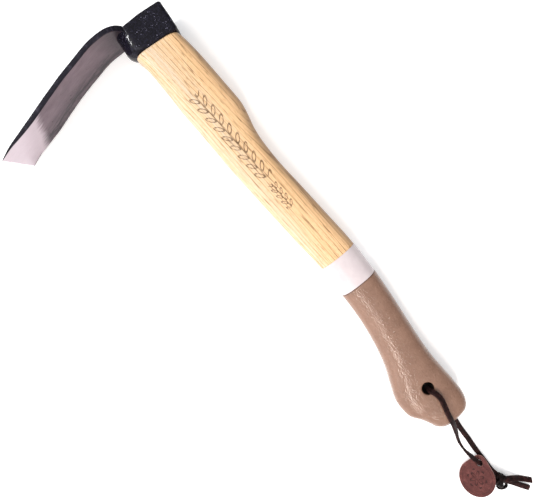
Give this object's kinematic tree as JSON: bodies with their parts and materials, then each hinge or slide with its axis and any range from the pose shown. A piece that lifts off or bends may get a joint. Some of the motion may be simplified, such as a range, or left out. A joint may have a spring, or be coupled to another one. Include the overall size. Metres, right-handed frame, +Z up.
{
  "type": "hand hoe",
  "caption": "Short-handled digging hoe: a curved blade welded to a forged eye collar on a bent ash handle with a dipped grip, a leather lace loop and a leather tag.",
  "frame": {"origin": "on the ground under the middle of the tool's own bounding box, without the lanyard", "axes": "+X from the butt to the head, +Y the way the blade points, +Z up out of the ground that the tool lies on"},
  "size_m": [0.4937, 0.2014, 0.05],
  "materials": {
    "collar_paint": "thick glossy black lacquer over a rough forging",
    "blade_steel": "dark clear-lacquered forged steel, bright where the edge is ground",
    "ash_wood": "smooth sanded ash with a thin oil finish",
    "wedge_wood": "rough sawn hardwood",
    "ring_steel": "plain bright steel",
    "band_paint": "satin white paint",
    "grip_coating": "thick taupe dip coating with a faint wrinkle and a soft gloss",
    "lace_leather": "dark brown waxed leather lace",
    "tag_leather": "reddish brown vegetable-tanned leather with a pale cut rim"
  },
  "bodies": {
    "tool": {"eye_collar": "collar_paint", "blade": "blade_steel", "handle": "ash_wood", "kerf_wedge": "wedge_wood", "ring_wedge": "ring_steel", "white_band": "band_paint", "grip_coat": "grip_coating"},
    "lanyard": {"lace_upper": "lace_leather", "lace_lower": "lace_leather", "lace_knot": "lace_leather", "lace_tails": "lace_leather"},
    "tag": {"leather_tag": "tag_leather"}
  },
  "joints": [
    {"name": "lanyard_swing", "type": "hinge", "parent": "tool", "child": "lanyard", "pos_m": [-0.16521, -0.0735, 0.01493], "axis": [-0.0209, -0.0192, 0.9996], "range_deg": [-60, 60]},
    {"name": "tag_swing", "type": "hinge", "parent": "lanyard", "child": "tag", "pos_m": [-0.2485, -0.07525, 0.0054], "axis": [0.4163, 0.181, 0.891], "range_deg": [-25, 25]}
  ]
}
